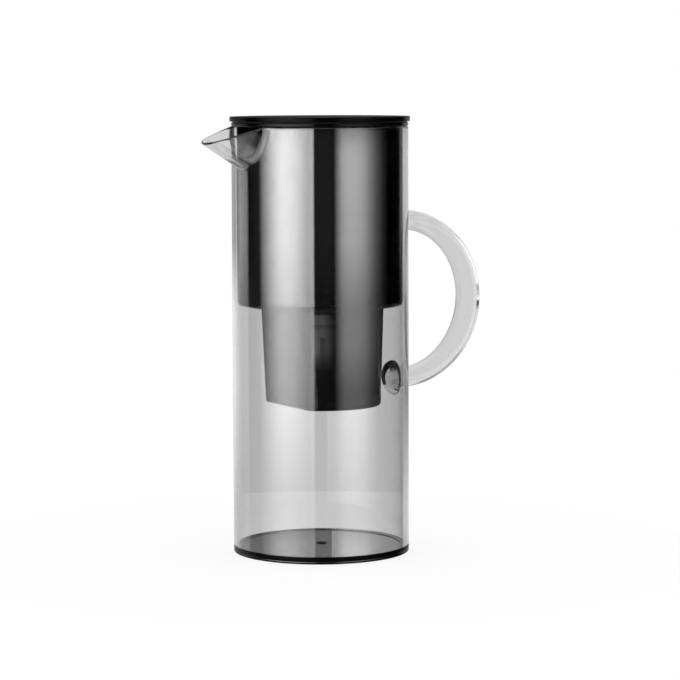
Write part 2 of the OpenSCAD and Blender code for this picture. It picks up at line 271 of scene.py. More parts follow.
# Painted shade where the handle meets the wall: black, without a shine of its own
painted_root_shade = solid_plastic(
    "painted shade at handle roots", ("020202", "030303"), 0.6 * MM, 0.01 * MM, (0.3, 0.36), specular=0.0)
# Upper edge of the foot: black as painted shade, with sharp bright reflections
painted_shade_foot_edge = solid_plastic(
    "smoke SAN, foot edge in painted shade", ("030303", "050505"), 0.6 * MM, 0.004 * MM, (0.03, 0.06), specular=1.0)
# Handle: hardly any colour, with fine grey streaks along the ring
clear_san = clear_plastic(
    "clear SAN, moulded", ("c2c2c2", "ffffff"), "b0b2b2", 6.0, 0.006, ior=1.14,
    ring=(handle_ring_x, handle_z))
# Cup: dark, with a painted shade low down, on its flat and towards the handle, which leaves a paler upright
# zone
cup_san = clear_plastic(
    "dark smoke SAN with painted shade, cup", ("f0f0f0", "f6f6f6"), "404041", 240.0, 0.006, ior=1.42, dark="505050",
    painted_shade_axes=(("Z", cup_z + 22 * MM, cup_z + 40 * MM), ("X", -26.5 * MM, -23.5 * MM), ("X", -9 * MM, -19 * MM)))
# Hopper: so deep a tint that only its polish shows
hopper_san = clear_plastic(
    "dark smoke SAN, hopper", ("f0f0f0", "f6f6f6"), "404041", 1700.0, 0.004, ior=1.6)
# Cartridge: off-white with a soft spread shine
pale_polypropylene = solid_plastic(
    "pale polypropylene, moulded", ("eeede8", "f6f5f1"), 0.5 * MM, 0.03 * MM, (0.38, 0.5))
# Lid's edge and underside: black with a faint satin shine
black_abs = solid_plastic(
    "black ABS, satin", ("030303", "050505"), 0.35 * MM, 0.015 * MM, (0.14, 0.2), specular=0.035)
# Hopper's flange: black with a weak satin shine
black_satin = solid_plastic(
    "dark smoke SAN, satin", ("020202", "040404"), 0.35 * MM, 0.012 * MM, (0.12, 0.18), specular=0.1)
# Hopper's flat: black that mirrors nothing
hopper_matt = solid_plastic(
    "dark smoke SAN, matt", ("040404", "060606"), 0.35 * MM, 0.012 * MM, (0.3, 0.36), specular=0.0)
# Lid's top: black with a dull, widely spread shine
black_matt = solid_plastic(
    "black ABS, matt", ("050505", "070707"), 0.35 * MM, 0.02 * MM, (0.62, 0.75), specular=0.06)
# Lid's seal: very dark grey and dull
soft_silicone = solid_plastic(
    "black silicone, matt", ("131313", "1a1a1a"), 0.4 * MM, 0.02 * MM, (0.6, 0.72), specular=0.35)
# Cartridge's seal: pale grey and dull
pale_silicone = solid_plastic(
    "pale silicone, matt", ("cfcec9", "d8d7d2"), 0.4 * MM, 0.02 * MM, (0.55, 0.68), specular=0.35)
mesh_weave = woven_mesh()
grain_bed = filter_grains()


def rounded(corners, closed=False, steps=6, guard=0.25 * MM):
    """Profile through corners given as (r, z, fillet): each corner becomes an arc that touches both its
    edges. A point a little way along each edge keeps the shading of long flats even."""
    points = np.array([c[:2] for c in corners], float)
    radii = [c[2] for c in corners]
    count = len(points)
    out = []
    for i in range(count):
        if not closed and i in (0, count - 1):
            out.append(points[i][None])
            continue
        here = points[i]
        back = points[i - 1] - here
        ahead = points[(i + 1) % count] - here
        room = min(np.linalg.norm(back), np.linalg.norm(ahead)) / 2
        back /= np.linalg.norm(back)
        ahead /= np.linalg.norm(ahead)
        half = math.acos(np.clip(back @ ahead, -1, 1)) / 2
        reach = radii[i] / math.tan(half)
        middle = here + (back + ahead) / np.linalg.norm(back + ahead) * radii[i] / math.sin(half)
        first, last = here + back * reach - middle, here + ahead * reach - middle
        start = math.atan2(first[1], first[0])
        turn = (math.atan2(last[1], last[0]) - start + math.pi) % (2 * math.pi) - math.pi
        angles = start + turn * np.linspace(0, 1, steps)
        arc = middle + radii[i] * np.stack([np.cos(angles), np.sin(angles)], 1)
        edge = min(reach + guard, 0.98 * room)
        if edge > reach:
            arc = np.concatenate([(here + back * edge)[None], arc, (here + ahead * edge)[None]])
        out.append(arc)
    return np.concatenate(out)


def turned_at(profile, angle):
    """Rows of a turned surface: each profile point (r, z) goes round the axis through the angles."""
    r, z = profile[:, :1], profile[:, 1:]
    return np.stack([r * np.cos(angle), r * np.sin(angle), z + 0 * angle], 2)


def turned(profile, columns=288):
    """Rows of a turned surface at even angles, once round the axis."""
    return turned_at(profile, np.linspace(0, 2 * math.pi, columns, endpoint=False))


def angles_of(ring):
    """Angle round the axis of each point of a ring."""
    return np.arctan2(ring[:, 1], ring[:, 0])


def flat_sided(r, flat, corner, crown=0.0, counts=(25, 9, 200)):
    """Rings of a round outline with one flat on the spout's side and rounded corners between the two.
    The outline is a smaller one of the same kind grown by the corner radius, so it is a straight run,
    an arc at each corner and the long arc of the main circle. A crown bows the straight run out a little."""
    r, flat, corner = (np.asarray(v, float).reshape(-1, 1) for v in (r, flat, corner))
    lean = np.arccos((flat - corner) / (r - corner))
    half = (r - corner) * np.sin(lean)
    run, bend, sweep = (np.linspace(0, 1, n)[None] for n in counts)
    flat_x, flat_y = -flat - crown * (1 - (1 - 2 * run) ** 2), half * (1 - 2 * run)
    turn = math.pi + lean * bend
    corner_x, corner_y = corner - flat + corner * np.cos(turn), -half + corner * np.sin(turn)
    long_way = math.pi + lean + (2 * math.pi - 2 * lean) * sweep[:, 1:-1]
    round_x, round_y = r * np.cos(long_way), r * np.sin(long_way)
    x = np.concatenate([flat_x, corner_x[:, 1:], round_x, corner_x[:, :0:-1]], 1)
    y = np.concatenate([flat_y, corner_y[:, 1:], round_y, -corner_y[:, :0:-1]], 1)
    return x, y


def stacked(x, y, z):
    """Rows of points from the rings' x and y and one height for each ring."""
    return np.stack([x, y, np.asarray(z, float).reshape(-1, 1) + 0 * x], 2)


def loft(rows, closed=False, start=None, end=None):
    """Shell over rows of closed rings: quads between neighbours. The rows join first to last when closed,
    and a pole point closes an end with a fan."""
    count, columns = rows.shape[:2]
    points = rows.reshape(-1, 3)
    ring = np.arange(count * columns).reshape(count, columns)
    lower = ring if closed else ring[:-1]
    upper = np.roll(ring, -1, 0) if closed else ring[1:]
    quads = np.stack([lower, np.roll(lower, -1, 1), np.roll(upper, -1, 1), upper], 2).reshape(-1, 4)
    fans = []
    for pole, row, flip in ((start, ring[0], True), (end, ring[-1], False)):
        if pole is not None:
            tip = np.full(columns, len(points))
            pair = (np.roll(row, -1), row) if flip else (row, np.roll(row, -1))
            fans.append(np.stack([*pair, tip], 1))
            points = np.concatenate([points, np.asarray(pole, float)[None]])
    return points, quads, np.concatenate(fans) if fans else np.zeros((0, 3), int)


def outward(points, quads, fans):
    """Turn a closed shell's faces round if the volume that they enclose comes out negative."""
    triangles = np.concatenate([quads[:, :3], quads[:, [0, 2, 3]], fans])
    a, b, c = (points[triangles[:, i]] for i in range(3))
    if np.einsum("ij,ij->i", a, np.cross(b, c)).sum() < 0:
        return points, quads[:, ::-1], fans[:, ::-1]
    return points, quads, fans


def mesh_of(name, shells):
    """Smooth mesh of closed shells."""
    points, faces, base = [], [], 0
    for shell in shells:
        corner, quads, fans = outward(*shell)
        points.append(corner)
        faces += (quads + base).tolist() + (fans + base).tolist()
        base += len(corner)
    mesh = bpy.data.meshes.new(name)
    mesh.from_pydata(np.concatenate(points).tolist(), [], faces)
    mesh.polygons.foreach_set("use_smooth", np.ones(len(faces), bool))
    mesh.update()
    return mesh


def piece(name, shells, material, body, slot, *nodes):
    """Make one smooth piece from closed shells, let it ride on its body and stand for its nodes."""
    mesh = mesh_of(name, shells)
    mesh.materials.append(material)
    made = bpy.data.objects.new(name, mesh)
    bpy.context.scene.collection.objects.link(made)
    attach(made, body)
    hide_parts(*nodes)
    return made


def refinish(made, finish, picks):
    """Give another finish to the faces of a piece that picks chooses by their middles."""
    middles = np.zeros(3 * len(made.data.polygons))
    made.data.polygons.foreach_get("center", middles)
    made.data.materials.append(finish)
    index = np.zeros(len(made.data.polygons), np.int32)
    made.data.polygons.foreach_get("material_index", index)
    index[picks(*middles.reshape(-1, 3).T)] = len(made.data.materials) - 1
    made.data.polygons.foreach_set("material_index", index)


def ease(share):
    """Smooth step from 0 to 1."""
    share = np.clip(share, 0, 1)
    return share * share * (3 - 2 * share)


def soft_start(value, bend):
    """The value itself above the bend, and below it a parabola that meets it there and ends flat at minus
    the bend."""
    return np.where(value > bend, value, np.clip(value + bend, 0, None) ** 2 / (4 * bend))


def lip_rim(side):
    """Distance of the lip's rim from the axis at an angle from the spout: a round nose up to the angle where
    it touches a straight flank, and then the flank, which meets the wall at the root's width."""
    nose_x = tip_x - nose_r
    span_x, span_y = nose_x - lip_root_x, -lip_root
    span = math.hypot(span_x, span_y)
    tilt = math.atan2(span_y, span_x) + math.asin(nose_r / span)
    normal_x, normal_y = -math.sin(tilt), math.cos(tilt)
    offset = normal_x * lip_root_x + normal_y * lip_root
    flank = offset / np.maximum(normal_x * np.cos(side) + normal_y * np.sin(side), 1e-6)
    across = nose_x * np.sin(side)
    nose = nose_x * np.cos(side) + np.sqrt(np.maximum(nose_r ** 2 - across ** 2, 0))
    touch = math.atan2(nose_r * normal_y, nose_x + nose_r * normal_x)
    return np.where(side < touch, nose, flank)


def lip_swell():
    """Angles from the spout, and how far the rim stands out of the round there: the lip's rim less the wall's
    radius, with a hollow at each root, brought to the length that the thin rim leaves at the tip."""
    aside = np.linspace(0, lip_sector, 400)
    swell = soft_start(lip_rim(aside) - jug_r, lip_hollow)
    return aside, swell * (tip_x - lip_wall / 3 - jug_r) / swell[0]


def jug_shell():
    """Jug wall: a tube whose radius, over angle and height, swells near the rim into the lip. Going down, the
    swell shrinks evenly and grows narrower, to nothing at the lip's depth, and the rim drops towards the tip.
    The inside follows the outside at the wall's thickness, and the rim is a half round."""
    dense = np.linspace(-lip_sector, lip_sector, 221)
    sparse = np.linspace(lip_sector, 2 * math.pi - lip_sector, 181)[1:-1]
    angle = math.pi + np.concatenate([dense, sparse])[None]
    side = np.abs(angle % (2 * math.pi) - math.pi)
    aside, swell = lip_swell()
    reach = ((jug_r + np.interp(side, aside, swell)) * np.cos(side) - lip_root_x) / (tip_x - lip_root_x)
    fall = np.clip(reach, 0, 1) * (side < math.pi / 2)
    top = rim_z - lip_drop * fall ** lip_drop_power - jug_wall / 2
    low = np.append(foot_z + foot_bevel_h, np.linspace(floor_z + border_h, lip_rows_start, 12)[:-1])[:, None]
    high = lip_rows_start + (top - lip_rows_start) * np.linspace(0, 1, 56)[:, None]
    z = np.concatenate([low + 0 * angle, high])
    share = (z - rim_z + lip_depth) / (top - rim_z + lip_depth)
    width = np.sqrt(1 - (1 - np.clip(share, lip_least_share, 1)) ** lip_narrowing)
    radius = jug_r + soft_start(share, lip_bend) * np.interp(side / width, aside, swell)
    outer = np.stack([radius * np.cos(angle), radius * np.sin(angle), z], 2)
    across_way = np.roll(outer, -1, 1) - np.roll(outer, 1, 1)
    up_way = np.gradient(outer, axis=0)
    normal = np.cross(across_way, up_way)
    normal /= np.linalg.norm(normal, axis=2, keepdims=True)
    thick = jug_wall - (jug_wall - lip_wall) * ease((radius - jug_r) / lip_thinning)
    inner = outer - normal * thick[..., None]
    middle = (outer[-1] + inner[-1]) / 2
    out_way = (outer[-1] - inner[-1]) / 2
    up = up_way[-1] / np.linalg.norm(up_way[-1], axis=1, keepdims=True)
    up = up * np.linalg.norm(out_way, axis=1)[:, None]
    bow = np.linspace(0, math.pi, 9)[1:-1, None, None]
    rim = middle + np.cos(bow) * out_way + np.sin(bow) * up
    foot_out = outer[:1] * [1, 1, 0] * (1 - foot_bevel_w / jug_r) + [0, 0, foot_z]
    foot_in = inner[:1] * [1, 1, 0] * (1 + foot_bevel_w / jug_r) + [0, 0, foot_z]
    return loft(np.concatenate([foot_out, outer, rim, inner[::-1], foot_in]), closed=True)


def base_shell():
    """Base turned from one profile: foot flange, plug, raised border, floor and the stud of the moulding
    gate."""
    plug_r = jug_r - jug_wall - bond
    border_r = plug_r - border_w
    border_z = floor_z + border_h
    pole_r, edge = 0.4 * MM, 0.12 * MM
    corners = [
        (pole_r, 0, 0), (jug_r, 0, 0.5 * MM), (jug_r, foot_t, 0.7 * MM), (plug_r, foot_t, 0.15 * MM),
        (plug_r, border_z, edge), (border_r, border_z, edge), (border_r, floor_z, edge),
        (gate_r, floor_z, 0.2 * MM), (gate_r, stud_z, 0.4 * MM), (pole_r, stud_z, 0)]
    return loft(turned(rounded(corners, steps=9)), start=(0, 0, 0), end=(0, 0, stud_z))


def handle_shell():
    """Handle: an oval of four arcs carried along a half ring with a short straight root at each end.
    Near the wall the oval grows into a flare, and each end is a patch that follows the wall."""
    half_t, half_w = handle_t / 2, handle_w / 2
    edge_y = half_w - handle_edge
    side_r = (edge_y ** 2 + half_t ** 2 - handle_edge ** 2) / (2 * (half_t - handle_edge))
    way = np.linspace(0, 2 * math.pi, 96, endpoint=False)
    on_side = np.abs(np.arctan(np.tan(way))) < math.atan2(edge_y, side_r - half_t)
    arc_r = np.where(on_side, side_r, handle_edge)
    oval_t = np.where(on_side, np.sign(np.cos(way)) * (half_t - side_r), 0) + arc_r * np.cos(way)
    oval_w = np.where(on_side, 0, np.sign(np.sin(way)) * edge_y) + arc_r * np.sin(way)

    def swollen(gone):
        """Oval at a distance from the wall: the flare is the hollow quarter of a circle."""
        grow = 1 - np.sqrt(np.clip(1 - np.clip(1 - gone / flare_reach, 0, 1) ** 2, 0, 1))
        return oval_t + np.cos(way) * grow * flare_t, oval_w + np.sin(way) * grow * flare_w

    face_r = jug_r + bond
    root = np.linspace(0, 1, 12)[:, None]
    t, w = swollen(root * (handle_ring_x - face_r))
    crest = np.sqrt(face_r ** 2 - w ** 2)
    root_x = crest + root * (handle_ring_x - crest)
    roots = [np.stack([root_x, w, handle_z + end * (handle_ring_r + t)], 2) for end in (-1, 1)]
    bend = np.linspace(0, math.pi, 129)[1:-1, None]
    t, w = swollen(handle_ring_x - face_r + handle_ring_r * np.minimum(bend, math.pi - bend))
    angle = bend - math.pi / 2
    bow = np.stack([handle_ring_x + (handle_ring_r + t) * np.cos(angle), w + 0 * angle,
                    handle_z + (handle_ring_r + t) * np.sin(angle)], 2)
    patch = np.linspace(0.1, 0.98, 45)[:, None]
    t, w = swollen(0.0)
    caps = [np.stack([np.sqrt(face_r ** 2 - (patch * w) ** 2), patch * w,
                      handle_z + end * (handle_ring_r + patch * t)], 2) for end in (-1, 1)]
    body = np.concatenate([caps[0], roots[0], bow, roots[1][::-1], caps[1][::-1]])
    poles = [(face_r, 0, handle_z + end * handle_ring_r) for end in (-1, 1)]
    return loft(body, start=poles[0], end=poles[1])


def root_shade_crescent(x, y, z):
    """Faces of the handle's bonding ends that are painted black as shade: an arch along the end's edge, thick
    at its top and thinner down both legs, which stop before the lowest part. Places are shares of the end's
    size."""
    arch_inside, arch_growth, legs_end = 0.71, 0.16, -0.5
    root_z = handle_z + np.where(z > handle_z, 1, -1) * handle_ring_r
    high, wide = (z - root_z) / (handle_t / 2 + flare_t), y / (handle_w / 2 + flare_w)
    on_end = np.abs(np.hypot(x, y) - jug_r - bond) < 0.1 * MM
    return on_end & (np.hypot(high, wide) > arch_inside - arch_growth * high) & (high > legs_end)


def key_shade_faces(x, y, z):
    """Faces at both sides and on top of the key inside the cup, which take a painted shade."""
    near = 0.02 * MM
    turn = math.radians(key_turn)
    along, across = x * math.cos(turn) + y * math.sin(turn), y * math.cos(turn) - x * math.sin(turn)
    at_side = np.abs(np.abs(across) - key_w / 2) < near
    at_top = (np.abs(across) < key_w / 2) & (np.abs(z - cup_z - rib_h - key_h) < near)
    return (along > 0) & (z > cup_z + rib_h) & (at_side | at_top)


def cup_ring(z, grow, corner):
    """Outline of the filter cup at a height: round radius and flat lean out evenly upwards."""
    share = (np.asarray(z, float) - cup_z) / (hopper_z - bond - cup_z)
    r = cup_r_low + share * (cup_r_high - cup_r_low) + grow
    flat = cup_flat_low + share * (cup_flat_high - cup_flat_low) + grow
    return flat_sided(r, flat, np.maximum(corner + 0 * r, least_corner))


def hopper_shell():
    """Hopper: one closed profile of growth and height carried round its flat-sided outline. The flange is
    round, and the hole in the floor takes the cup's outline."""
    floor_run, flange_root = 12 * MM, 1.2 * MM
    floor_top = hopper_z + hopper_floor
    wall = rounded([
        (-floor_run, hopper_z, 0), (0, hopper_z, hopper_edge), (0, flange_z, 0.6 * MM),
        (flange_root, flange_z, 0)], steps=10)[1:-1]
    flange = rounded([
        (hopper_r + flange_root, flange_z, 0), (jug_r, flange_z, 0.5 * MM), (jug_r, flange_top, 0.35 * MM),
        (hopper_r, flange_top, 0)], steps=6)
    inside = rounded([
        (0, flange_top, 0), (-hopper_wall, flange_top, 0.4 * MM),
        (-hopper_wall, floor_top, hopper_edge - hopper_wall), (-floor_run, floor_top, 0)], steps=8)[1:-1]

    def body_rings(profile):
        """Rings of the pot at each growth and height of a profile."""
        x, y = flat_sided(hopper_r + profile[:, 0], hopper_flat - flat_crown + profile[:, 0],
                          np.maximum(flat_corner + profile[:, 0], least_corner), flat_crown)
        return stacked(x, y, profile[:, 1])

    outside = body_rings(wall)
    rim = turned_at(flange, angles_of(outside[-1]))
    hole_z = hopper_z + np.array([hole_edge, hopper_floor - hole_edge])
    hole = stacked(*cup_ring(hole_z, hole_gap, flat_corner), hole_z)
    edge_low = stacked(*cup_ring(hole_z[:1], hole_gap + hole_edge, flat_corner), [hopper_z])
    edge_high = stacked(*cup_ring(hole_z[1:], hole_gap + hole_edge, flat_corner), [floor_top])
    rows = [hole, edge_high, body_rings(inside)[::-1], rim[::-1], outside[::-1], edge_low]
    return loft(np.concatenate(rows), closed=True)


def cup_shell():
    """Filter cup: an outside and an inside profile of growth and height carried round the cup's outline,
    with a thin flange under the hopper's floor."""
    floor_run = 14 * MM
    under = hopper_z - bond
    profile = rounded([
        (-floor_run, cup_z, 0), (0, cup_z, 1.6 * MM), (0, under - cup_flange_t, 0.8 * MM),
        (cup_flange_w, under - cup_flange_t, 0.3 * MM), (cup_flange_w, under, 0.2 * MM),
        (0, under, 0.15 * MM), (0, cup_top, 0.3 * MM), (-cup_wall, cup_top, 0.3 * MM),
        (-cup_wall, cup_z + cup_wall, 1.0 * MM), (-floor_run, cup_z + cup_wall, 0)])
    x, y = cup_ring(profile[:, 1], profile[:, 0], cup_corner + np.minimum(profile[:, 0], 0))
    middle = cup_r_low - 0.5 * (cup_r_low + cup_flat_low)
    return loft(stacked(x, y, profile[:, 1]), start=(middle, 0, cup_z), end=(middle, 0, cup_z + cup_wall))


def bar_shell(turn, reach, half, low, high):
    """Upright bar that points away from the axis in a direction: a box from one distance to another."""
    x, y = np.array([reach[0], reach[1], reach[1], reach[0]]), half * np.array([-1, -1, 1, 1])
    angle = math.radians(turn)
    ring = np.stack([x * math.cos(angle) - y * math.sin(angle), x * math.sin(angle) + y * math.cos(angle)], 1)
    middle = ring.mean(0)
    rows = np.stack([np.c_[ring, [z] * 4] for z in (low, high)])
    return loft(rows, start=(*middle, low), end=(*middle, high))


def cup_bars():
    """Ribs inside the cup that carry the cartridge, and the key that its keyway slides over. The key reaches
    into the wall, at the radius that the cup has at the key's level, a share of its height."""
    inside = cup_r_low - cup_wall
    rib_low, key_low = cup_z + rib_foot, cup_z + key_start * rib_h
    key_out = cup_r_low + key_level * (cup_r_high - cup_r_low) - key_inset
    bars = [bar_shell(turn, (inside - rib_reach, inside + rib_sunk), rib_t / 2, rib_low, cup_z + rib_h)
            for turn in rib_turns]
    key_span = (key_out + key_inset - key_reach, key_out)
    bars.append(bar_shell(key_turn, key_span, key_w / 2, key_low, cup_z + rib_h + key_h))
    return bars


def cup_outlets():
    """Bores through the cup's floor, in two rings round the middle of the flat-sided floor."""
    low, high = cup_z - MM, cup_z + cup_wall + MM
    bores = []
    for count, ring_r in outlet_rings:
        for turn in np.arange(count) * 2 * math.pi / count:
            middle = np.array([outlet_x + ring_r * math.cos(turn), ring_r * math.sin(turn), 0])
            rows = turned(np.array([[outlet_r, low], [outlet_r, high]]), 32) + middle
            bores.append(loft(rows, start=middle + [0, 0, low], end=middle + [0, 0, high]))
    return bores


def joined(made, shells, operation):
    """Unite a piece with shells, or cut them out of it, and keep its edges crisp where faces meet at an
    angle."""
    tool = bpy.data.objects.new("tool", mesh_of("tool", shells))
    bpy.context.scene.collection.objects.link(tool)
    change = made.modifiers.new("change", "BOOLEAN")
    change.operation = operation
    change.solver = "EXACT"
    change.use_self = True
    change.object = tool
    seen = made.evaluated_get(bpy.context.evaluated_depsgraph_get())
    old, made.data = made.data, bpy.data.meshes.new_from_object(seen)
    made.modifiers.clear()
    bpy.data.objects.remove(tool)
    bpy.data.meshes.remove(old)
    made.data.set_sharp_from_angle(angle=math.radians(35))


def lid_shell():
    """Lid: a turned disc with rounded edges and a seal groove, whose collar takes the hopper's flat-sided
    outline."""
    under = lid_top - lid_t
    groove_z = under + seal_groove
    collar_run, collar_root, disc_root = 20 * MM, 0.8 * MM, 0.9 * MM
    pole_r, edge = 0.5 * MM, 0.1 * MM
    disc = rounded([
        (collar_r + disc_root, under, 0), (seal_r - seal_w, under, edge), (seal_r - seal_w, groove_z, edge),
        (seal_r, groove_z, edge), (seal_r, under, edge), (lid_r, under, 0.6 * MM), (lid_r, lid_top, 0.6 * MM),
        (pole_r, lid_top, 0)], steps=6)[1:]
    collar = rounded([
        (-collar_run, under, 0), (-collar_wall, under, 0.8 * MM), (-collar_wall, collar_z, 0.5 * MM),
        (0, collar_z, 0.5 * MM), (0, under, 0.4 * MM), (collar_root, under, 0)], steps=6)
    x, y = flat_sided(collar_r + collar[:, 0], collar_flat + collar[:, 0],
                      np.maximum(flat_corner + collar[:, 0], least_corner))
    skirt = stacked(x, y, collar[:, 1])
    top = turned_at(disc, angles_of(skirt[-1]))
    return loft(np.concatenate([skirt, top]), start=(0, 0, under), end=(0, 0, lid_top))


def seal_shell():
    """Lid's sealing ring: a closed rounded section turned round the axis."""
    section = rounded([
        (seal_r - seal_w, seal_z, 0.4 * MM), (seal_r, seal_z, 0.4 * MM), (seal_r, seal_top, 0.2 * MM),
        (seal_r - seal_w, seal_top, 0.2 * MM)], closed=True)
    return loft(turned(section), closed=True)


# Pieces that stand for the solids, where a margin or a hair keeps picked faces clear of an edge
margin, hair = 0.1 * MM, 0.01 * MM
wall = piece("jug_wall", [jug_shell()], smoke_san, "jug", "smoke_clear_plastic", "jug_body")
# Painted shade: the wall's band beside the base's plug is black
refinish(wall, painted_shade_black, lambda x, y, z: z < floor_z + border_h)
base = piece("jug_base", [base_shell()], base_san, "jug", "smoke_clear_plastic", "base_plate")
# Painted shade: the gate's stud is black
refinish(base, painted_shade_black, lambda x, y, z: (np.hypot(x, y) < gate_r) & (z > floor_z + margin))
# Painted shade: the foot's upper edge is black, while its sharp reflections are real
refinish(base, painted_shade_foot_edge, lambda x, y, z: (np.hypot(x, y) > jug_r - jug_wall) & (z < foot_t + hair))
# Painted shade: the foot's lower edge is black
refinish(base, painted_shade_black, lambda x, y, z: (np.hypot(x, y) > jug_r - jug_wall) & (z < foot_shade_h))
handle = piece("ring_handle", [handle_shell()], clear_san, "jug", "clear_plastic", "handle")
# Painted shade: a black crescent on each of the handle's bonding ends
refinish(handle, painted_root_shade, root_shade_crescent)
hopper = piece("hopper_pot", [hopper_shell()], hopper_san, "hopper_unit", "dark_smoke_plastic", "hopper")
refinish(hopper, black_satin, lambda x, y, z: z > flange_z - margin)
refinish(hopper, hopper_matt, lambda x, y, z: (x < flat_band - hopper_flat) & (z < flange_z - margin))
cup = piece("cup_shell", [cup_shell()], cup_san, "hopper_unit", "smoke_cup_plastic", "filter_cup")
joined(cup, cup_bars(), "UNION")
joined(cup, cup_outlets(), "DIFFERENCE")
# Painted shade: the key's sides and top are black
refinish(cup, painted_shade_black, key_shade_faces)
lid = piece("lid_disc", [lid_shell()], black_abs, "lid_unit", "black_plastic", "lid")
refinish(lid, black_matt, lambda x, y, z: z > lid_top - lid_skin)
piece("lid_ring_seal", [seal_shell()], soft_silicone, "lid_unit", "soft_seal", "lid_seal")

# Solids that keep their own shape
for name, finish in {
    "cartridge_shell": pale_polypropylene, "cartridge_cap": pale_polypropylene,
    "cartridge_lip_seal": pale_silicone, "inlet_mesh": mesh_weave, "outlet_mesh": mesh_weave,
    "filter_media": grain_bed,
}.items():
    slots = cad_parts[name].data.materials
    slots.clear()
    slots.append(finish)

# Camera at the photograph's place, fitted to the circles of lid, base and floor
view_turn = math.radians(29.5)
view_pitch = math.radians(5.542)
view_roll = math.radians(0.202)
view_distance = 1819.8 * MM
view_height = 320.9 * MM
view_side = 13.2 * MM
view_lens = 141.87

camera_data = bpy.data.cameras.new("photo_camera")
camera_data.lens = view_lens
camera_data.sensor_width = 36.0
camera = bpy.data.objects.new("photo_camera", camera_data)
bpy.context.scene.collection.objects.link(camera)
camera.matrix_world = (
    Matrix.Rotation(-view_turn, 4, "Z")
    @ Matrix.Translation((view_side, -view_distance, view_height))
    @ Matrix.Rotation(math.pi / 2 - view_pitch, 4, "X")
    @ Matrix.Rotation(-view_roll, 4, "Z"))
bpy.context.scene.camera = camera

# Studio light: directions are in degrees, azimuth 0 lies on the camera's side and grows to its right
box_peak = 8.5
ceiling_start, ceiling_full, ceiling_level = 30, 42, 0.07
# Azimuth, and share of the box's level there
left_box = [
    (-86, 0.015), (-82, 0.17), (-76, 0.3), (-58, 0.85), (-49, 1.0), (-40, 0.96), (-32, 0.85), (-23, 0.65),
    (-15, 0.48), (-9.1, 0.54)]
right_box = [
    (23, 0.33), (27.5, 0.66), (31, 0.88), (42, 1.0), (51, 0.92), (60, 0.74), (69, 0.4), (79, 0.15),
    (90, 0.03)]
# Heights where a tier starts and is full, then its levels of back, edge, card, gap, left, middle and right
box_tiers = [
    (-90, -90, 1.0, 1.0, 1.0, 0.6, 2.6, 2.2, 2.2),
    (-58, -46, 0.5, 0.85, 1.5, 0.3, 2.5, 0.35, 1.5),
    (-30, -24, 0.5, 0.85, 1.5, 0.15, 4.0, 0.03, 1.5),
    (-14, -11, 0.8, 0.85, 0.7, 0.15, 3.5, 0.03, 3.1),
    (-9.9, -9.5, 0.9, 0.85, 0.65, 0.2, 1.95, 0.03, 1.0),
    (-9.0, -6.6, 0.35, 1.2, 0.9, 0.12, 5.2, 0.05, 1.3),
    (-6.6, -5.6, 0.6, 1.2, 0.9, 0.12, 5.9, 0.05, 2.4),
    (-4.9, -3.4, 0.8, 0.5, 1.35, 0.02, 7.8, 0.11, 4.6),
    (-3.2, -2.0, 0.8, 0.5, 1.35, 0.02, 8.4, 0.11, 5.1),
    (-1.5, -0.5, 0.5, 0.3, 0.15, 0.02, 7.2, 0.03, 0.4),
    (2, 6, 0.8, 0.5, 1.0, 0.1, 8.4, 0.11, 4.4)]
# Bend of light that went through clear plastic, to the left or right, and level of the backdrop there
backdrop_span = 0.6
backdrop_levels = [
    (-0.6, 0.86), (-0.54, 0.35), (-0.42, 0.35), (-0.37, 1.0), (-0.2, 0.95), (-0.14, 0.88), (0.0, 0.86),
    (0.12, 0.88), (0.2, 0.8), (0.35, 0.72), (0.45, 0.52), (0.54, 0.52), (0.6, 0.86)]


def fill_ramp(ramp, levels):
    """Give a colour ramp grey stops, each with a place from 0 to 1 and a level."""
    stops = ramp.color_ramp.elements
    while len(stops) < len(levels):
        stops.new(0.5)
    for stop, (place, level) in zip(stops, levels):
        stop.position = place
        stop.color = (level, level, level, 1)


def softboxes(tree, azimuth, height):
    """Studio as mirrors show it, in shares of its peak: two softboxes with dark between them, and cards
    behind. They are grey levels by azimuth in tiers of height, each faded in over the one below, with a dim
    ceiling on top."""
    place = add(tree, "MapRange", {"Value": azimuth, "From Min": -math.pi, "From Max": math.pi})
    bands = []
    for start, end, back, edge, card, gap, left, middle, right in box_tiers:
        levels = [(-180, back), (-174, back), (-168, edge), (-138, edge)]
        levels += [(-128, card), (-110, card), (-108, gap)]
        levels += [(angle, share * left) for angle, share in left_box]
        levels += [(-6.9, middle), (18.5, middle)]
        levels += [(angle, share * right) for angle, share in right_box]
        levels += [(100, 0.0), (135, 0.0), (140, back), (180, back)]
        ramp = add(tree, "ValToRGB", {"Fac": place.outputs[0]})
        fill_ramp(ramp, [((angle + 180) / 360, level / box_peak) for angle, level in levels])
        bands.append((start, end, ramp.outputs[0]))
    bands.append((ceiling_start, ceiling_full, (ceiling_level, ceiling_level, ceiling_level, 1)))
    boxes = bands[0][2]
    for start, end, colour in bands[1:]:
        share = add(tree, "MapRange", {
            "Value": height, "From Min": math.radians(start), "From Max": math.radians(end)})
        boxes = add(tree, "MixRGB", {"Fac": share.outputs[0], "Color1": boxes, "Color2": colour}).outputs[0]
    return boxes


